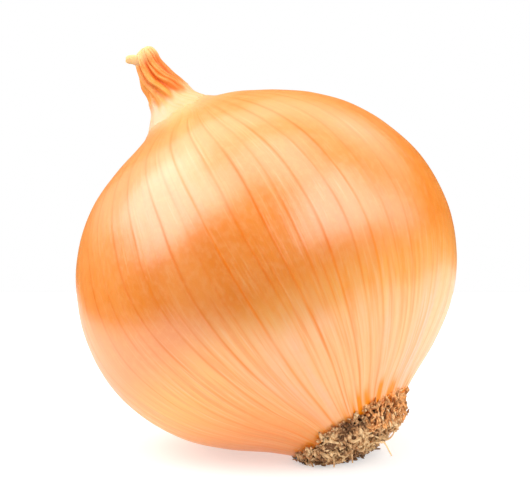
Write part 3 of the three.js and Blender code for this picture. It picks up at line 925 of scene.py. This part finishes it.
def root_material():
    """Dried roots and flakes: tan to dark brown, or reddish, matte and fibrous."""
    material, nodes, links, shader = new_material("brown_roots")
    own = add_attribute(nodes, "own", "Vector")
    tone = add_attribute(nodes, "tone")
    fibre = add_noise(nodes, links, own, 2.6, 4.0, 0.7)
    # The tone holds random variation, less the painted shade near the table
    dark = add_mix(nodes, links, add_range(nodes, links, tone, 0.0, 0.35), ROOT_DARK, ROOT_BROWN)
    colour = add_mix(nodes, links, add_range(nodes, links, tone, 0.3, 0.9), dark, ROOT_TAN)
    colour = add_mix(nodes, links, add_range(nodes, links, fibre, 0.5, 0.75, 0.0, 0.6), colour, ROOT_BROWN)
    colour = add_mix(nodes, links, add_range(nodes, links, fibre, 0.47, 0.35, 0.0, 0.55), colour, ROOT_TAN)
    rust = add_mix(nodes, links, add_range(nodes, links, fibre, 0.45, 0.6), ROOT_RED, ROOT_RED_DARK)
    colour = add_mix(nodes, links, add_attribute(nodes, "red"), colour, rust)
    links.new(colour, shader.inputs["Base Color"])
    links.new(add_bump(nodes, links, fibre, 0.0002, 1.0), shader.inputs["Normal"])
    shader.inputs["Roughness"].default_value = 0.85
    return material


def camera_axes():
    """Forward, right and up of the camera."""
    forward = Vector((
        -math.sin(CAMERA_AZIMUTH) * math.cos(CAMERA_ELEVATION),
        math.cos(CAMERA_AZIMUTH) * math.cos(CAMERA_ELEVATION),
        -math.sin(CAMERA_ELEVATION),
    ))
    right = Vector((math.cos(CAMERA_AZIMUTH), math.sin(CAMERA_AZIMUTH), 0))
    return forward, right, right.cross(forward)


def make_camera():
    data = bpy.data.cameras.new("camera")
    data.sensor_width = SENSOR_WIDTH
    data.lens = LENS
    camera = bpy.data.objects.new("camera", data)
    bpy.context.scene.collection.objects.link(camera)
    forward, right, up = camera_axes()
    middle = Vector((0, 0, REST_HEIGHT * MM))
    camera.location = middle - forward * CAMERA_DISTANCE + up * FRAME_RISE * MM - right * FRAME_LEFT * MM
    camera.rotation_euler = forward.to_track_quat("-Z", "Y").to_euler()
    bpy.context.scene.camera = camera


def from_view(azimuth, elevation):
    """A direction seen from the onion: azimuth in degrees from the camera's side to its right."""
    forward, right, _ = camera_axes()
    flat = Vector((forward.x, forward.y, 0)).normalized()
    azimuth, elevation = math.radians(azimuth), math.radians(elevation)
    level = right * math.sin(azimuth) - flat * math.cos(azimuth)
    return level * math.cos(elevation) + Vector((0, 0, 1)) * math.sin(elevation)


def make_panel(name, azimuth, elevation, width, height, brightness):
    """A soft light panel that faces the onion."""
    data = bpy.data.lights.new(name, "AREA")
    data.shape = "RECTANGLE"
    data.size, data.size_y = width, height
    data.energy = brightness * math.pi * width * height
    panel = bpy.data.objects.new(name, data)
    bpy.context.scene.collection.objects.link(panel)
    direction = from_view(azimuth, elevation)
    panel.location = Vector((0, 0, REST_HEIGHT * MM)) + direction * PANEL_DISTANCE
    panel.rotation_euler = (-direction).to_track_quat("-Z", "Y").to_euler()
    panel.visible_camera = False


def make_world():
    """White beyond the table where the camera sees it, and faint light from all round."""
    world = bpy.data.worlds.new("studio")
    world.use_nodes = True
    nodes, links = world.node_tree.nodes, world.node_tree.links
    background = nodes["Background"]
    path = nodes.new("ShaderNodeLightPath")
    mirrored = AMBIENT_MIRRORED - AMBIENT
    strength = add_math(nodes, links, "MULTIPLY_ADD", path.outputs["Is Glossy Ray"], mirrored)
    strength.node.inputs[2].default_value = AMBIENT
    strength = add_math(nodes, links, "MAXIMUM", strength, path.outputs["Is Camera Ray"])
    background.inputs["Color"].default_value = (1, 1, 1, 1)
    links.new(strength, background.inputs["Strength"])
    bpy.context.scene.world = world


def on_table(right, back, height=0.0):
    """A point of the table, so far to the camera's right and behind the onion."""
    forward, across, _ = camera_axes()
    flat = Vector((forward.x, forward.y, 0)).normalized()
    return across * right + flat * back + Vector((0, 0, height))


def make_floor():
    """A plain white light table."""
    front, behind, left, right = TABLE_REACH
    corners = [(-left, -front), (right, -front), (right, behind), (-left, behind)]
    mesh = bpy.data.meshes.new("table")
    mesh.from_pydata([on_table(*corner) for corner in corners], [], [(0, 1, 2, 3)])
    material, _, _, shader = new_material("table_white")
    shader.inputs["Base Color"].default_value = (TABLE_WHITE, TABLE_WHITE, TABLE_WHITE, 1)
    shader.inputs["Roughness"].default_value = 0.7
    shader.inputs["Emission Color"].default_value = (1, 1, 1, 1)
    shader.inputs["Emission Strength"].default_value = TABLE_GLOW
    mesh.materials.append(material)
    floor = bpy.data.objects.new("table", mesh)
    bpy.context.scene.collection.objects.link(floor)


def make_table_spot(name, right, back, width, height, brightness):
    """A brighter stretch of the light table, which faces up."""
    data = bpy.data.lights.new(name, "AREA")
    data.shape = "RECTANGLE"
    data.size, data.size_y = width, height
    data.energy = brightness * math.pi * width * height
    spot = bpy.data.objects.new(name, data)
    bpy.context.scene.collection.objects.link(spot)
    spot.location = on_table(right, back, 0.001)
    spot.rotation_euler = (math.pi, 0, CAMERA_AZIMUTH)
    spot.visible_camera = False


def make_onion():
    """Every piece of the onion, with the CAD node that it stands for."""
    skin = skin_material()
    dry = neck_material()
    brown = root_material()
    made = [
        (make_bulb(skin), "bulb", "dry_skin"),
        (make_neck(dry), "neck", "dried_neck"),
        (make_leaf_tips(dry), "neck", "dried_neck"),
        (make_plate(brown), "root_tuft", "dried_roots"),
        (make_roots(brown), "root_tuft", "dried_roots"),
        (make_flakes(brown), "root_tuft", "dried_roots"),
    ]
    for piece, node, slot in made:
        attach(piece, "root")
        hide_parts(node)


bpy.context.scene.view_settings.view_transform = "Standard"
make_camera()
make_world()
for panel in PANELS:
    make_panel(*panel)
make_floor()
make_table_spot(*TABLE_SPOT)
make_onion()
